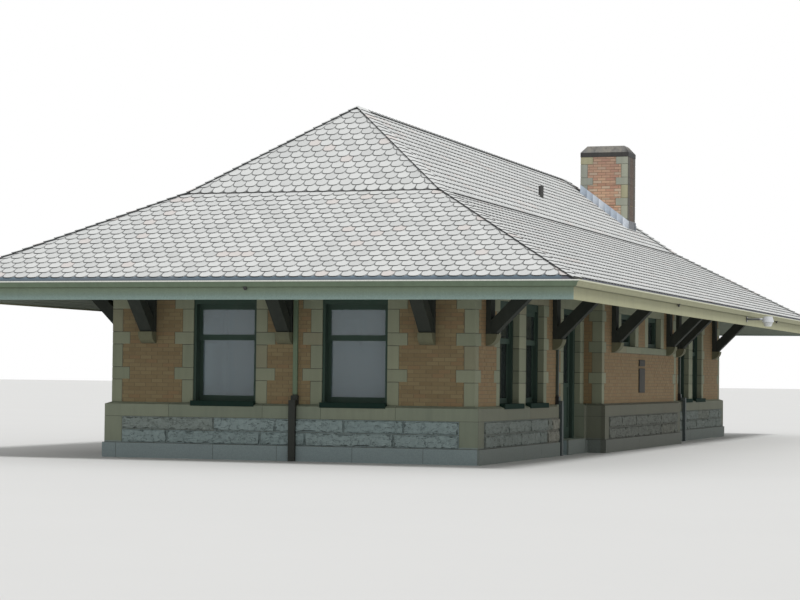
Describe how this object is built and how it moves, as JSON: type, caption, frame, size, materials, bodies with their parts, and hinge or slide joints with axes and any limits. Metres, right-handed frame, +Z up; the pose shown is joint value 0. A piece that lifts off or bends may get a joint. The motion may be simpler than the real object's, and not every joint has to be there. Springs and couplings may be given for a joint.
{
  "type": "railway station building",
  "caption": "One-storey brick and limestone railway station under a flared hip roof with deep bracketed eaves, a chimney and a hinged street door.",
  "frame": {"origin": "on the ground at the middle of the front wall's brick face", "axes": "+X towards the street side, +Y along the building from its front wall to its back wall, +Z up"},
  "size_m": [11.75, 26.76, 7.24],
  "materials": {
    "limestone": "dressed and rock-faced, weathered",
    "brick": "orange-buff brick, matte",
    "shingles": "grey mineral-surfaced scalloped shingles",
    "dark_green_timber": "dark green paint",
    "joinery_green": "green paint",
    "pale_boards": "pale sage paint",
    "pale_gutter": "pale sage paint",
    "downspout": "pale green paint over a dark iron boot",
    "flashing": "dull sheet metal",
    "sooty_cap": "sooty dressed stone",
    "floor": "plain concrete",
    "glazing": "clear window glass",
    "lamp_metal": "grey paint",
    "lamp_glass": "frosted lens",
    "vent": "dark paint"
  },
  "bodies": {
    "building": {"back_wall": "brick", "bay_sill_bands": "limestone", "bay_stone_bases": "limestone", "bay_upper_walls": "brick", "bay_walls": "brick", "bracket_posts": "dark_green_timber", "chimney_cap": "sooty_cap", "chimney_flashing": "flashing", "chimney_quoins": "limestone", "chimney_stack": "brick", "corbels": "limestone", "door_heads": "joinery_green", "door_posts": "joinery_green", "door_stops": "joinery_green", "door_thresholds": "limestone", "downspouts": "downspout", "end_fascias": "pale_boards", "end_gutters": "pale_gutter", "end_lower_slopes": "shingles", "end_stone_bases": "limestone", "end_struts": "dark_green_timber", "end_upper_slopes": "shingles", "end_upper_walls": "brick", "floor_slab": "floor", "front_wall": "brick", "hip_and_ridge_caps": "shingles", "lamp_lens": "lamp_glass", "lintels": "limestone", "quoins": "limestone", "side_fascias": "pale_boards", "side_gutters": "pale_gutter", "side_lower_slopes": "shingles", "side_stone_bases": "limestone", "side_struts": "dark_green_timber", "side_upper_walls": "brick", "soffit": "pale_boards", "stone_jambs": "limestone", "street_upper_slope": "shingles", "street_wall": "brick", "track_door": "joinery_green", "track_upper_slope": "shingles", "track_wall": "brick", "vent_pipe": "vent", "window_frames": "joinery_green", "window_glass": "glazing", "window_sashes": "joinery_green", "window_sills": "joinery_green", "yard_lamp": "lamp_metal"},
    "door_leaf": {"street_door": "joinery_green", "street_door_glass": "glazing"}
  },
  "joints": [
    {"name": "street_door_hinge", "type": "hinge", "parent": "building", "child": "door_leaf", "pos_m": [3.051, 7.0675, 1.35], "axis": [0, 0, -1], "range_deg": [0, 90]}
  ]
}
